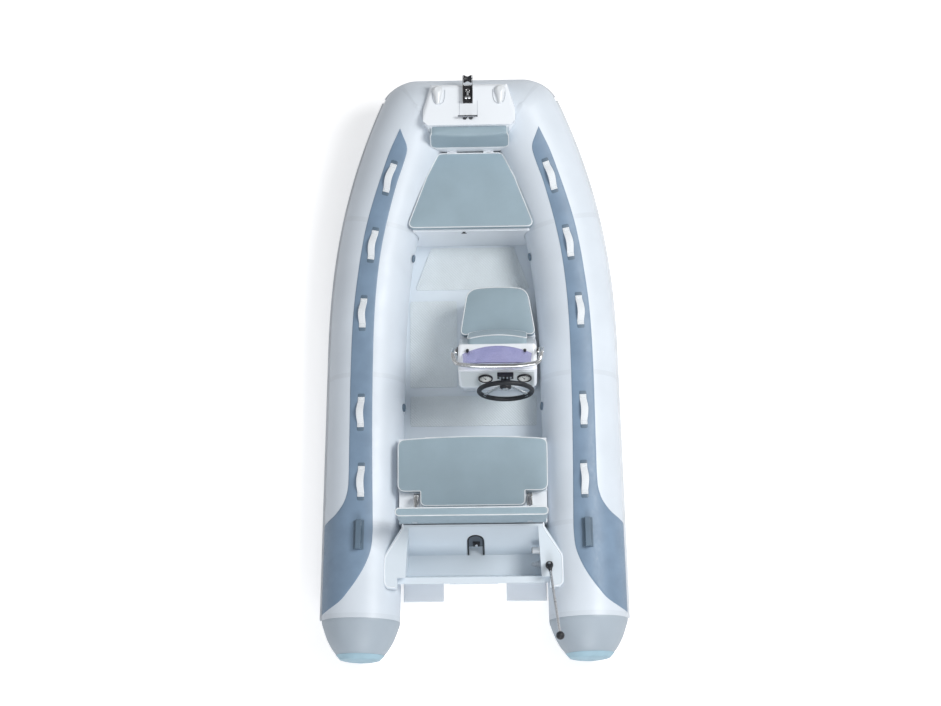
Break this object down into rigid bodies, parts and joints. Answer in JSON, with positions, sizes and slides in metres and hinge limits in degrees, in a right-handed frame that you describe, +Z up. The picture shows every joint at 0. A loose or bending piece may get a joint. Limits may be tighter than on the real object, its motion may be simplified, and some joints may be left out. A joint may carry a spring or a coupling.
{
  "type": "rigid inflatable boat",
  "caption": "Small rigid inflatable boat with tubes joined round a V hull, offset helm console, bow locker seat, folding aft bench and motor well.",
  "frame": {"origin": "on the centreline at the waterline, below the front of the console", "axes": "+X starboard, +Y towards the bow, +Z up"},
  "size_m": [1.8044, 3.5153, 1.1325],
  "materials": {
    "tube_fabric": "semi-matt coated fabric",
    "blue_grey_rubber": "matt",
    "white_rubber": "ribbed",
    "strap_webbing": "woven strap",
    "upholstery": "marine vinyl",
    "non_skid": "moulded non-skid",
    "tinted_glass": "tinted acrylic",
    "stainless": "polished stainless",
    "black_plastic": "satin",
    "grey_plastic": "satin",
    "white_plastic": "moulded",
    "gauge_white": "dial",
    "gelcoat": "gelcoat"
  },
  "bodies": {
    "root": {"aft_seat_box": "gelcoat", "anchor_roller_channel": "stainless", "backrest_brackets": "stainless", "bow_backrest_cushion": "upholstery", "bow_cleat": "stainless", "bow_deck": "gelcoat", "bow_eye": "stainless", "bow_locker": "gelcoat", "bow_rub_strake": "white_rubber", "bow_tube": "tube_fabric", "cable_boot": "white_plastic", "console": "gelcoat", "console_backrest_cushion": "upholstery", "console_rail": "stainless", "console_seat_box": "gelcoat", "dash_plate": "grey_plastic", "deck_liner": "gelcoat", "floor_pad_aft": "non_skid", "floor_pad_bow": "non_skid", "floor_pad_port": "non_skid", "gauges": "gauge_white", "hull_bottom": "gelcoat", "port_carry_handle": "blue_grey_rubber", "port_cone": "tube_fabric", "port_cone_cap": "blue_grey_rubber", "port_grab_handles": "strap_webbing", "port_rub_strake": "white_rubber", "port_tube": "tube_fabric", "port_valves": "blue_grey_rubber", "port_wear_strip": "blue_grey_rubber", "side_light_housings": "white_plastic", "starboard_carry_handle": "blue_grey_rubber", "starboard_cone": "tube_fabric", "starboard_cone_cap": "blue_grey_rubber", "starboard_grab_handles": "strap_webbing", "starboard_rub_strake": "white_rubber", "starboard_tube": "tube_fabric", "starboard_valves": "blue_grey_rubber", "starboard_wear_strip": "blue_grey_rubber", "steering_column": "black_plastic", "stern_light_base": "black_plastic", "stern_pads": "gelcoat", "switch_box": "black_plastic", "through_fitting": "gelcoat", "transom": "gelcoat", "windshield": "tinted_glass"},
    "wheel": {"steering_wheel": "black_plastic"},
    "bow_lid": {"bow_seat_lid": "gelcoat", "bow_seat_cushion": "upholstery"},
    "console_lid": {"console_seat_lid": "gelcoat", "console_seat_cushion": "upholstery"},
    "aft_lid": {"aft_seat_lid": "gelcoat", "aft_seat_cushion": "upholstery"},
    "backrest": {"aft_backrest": "upholstery", "backrest_arms": "stainless"},
    "light": {"stern_light_pole": "white_plastic", "stern_light_lamp": "black_plastic"},
    "roller": {"anchor_roller": "black_plastic"}
  },
  "joints": [
    {"name": "steering", "type": "hinge", "parent": "root", "child": "wheel", "pos_m": [0.2, -0.2, 0.715], "axis": [0, -0.9969, 0.0785], "range_deg": [-540, 540]},
    {"name": "bow_lid_hinge", "type": "hinge", "parent": "root", "child": "bow_lid", "pos_m": [0, 1.35, 0.4446], "axis": [-1, 0, 0], "range_deg": [0, 60]},
    {"name": "console_lid_hinge", "type": "hinge", "parent": "root", "child": "console_lid", "pos_m": [0.155, 0.508, 0.39], "axis": [-1, 0, 0], "range_deg": [0, 90]},
    {"name": "aft_lid_hinge", "type": "hinge", "parent": "root", "child": "aft_lid", "pos_m": [0, -0.392, 0.366], "axis": [-1, 0, 0], "range_deg": [0, 75]},
    {"name": "backrest_fold", "type": "hinge", "parent": "root", "child": "backrest", "pos_m": [0, -0.762, 0.41], "axis": [1, 0, 0], "range_deg": [-95, 0]},
    {"name": "light_tilt", "type": "hinge", "parent": "root", "child": "light", "pos_m": [0.437, -1.158, 0.4433], "axis": [-0.9928, -0.1201, 0], "range_deg": [0, 67]},
    {"name": "roller_spin", "type": "hinge", "parent": "root", "child": "roller", "pos_m": [-0.006, 1.718, 0.6973], "axis": [1, 0, 0], "continuous": true}
  ]
}
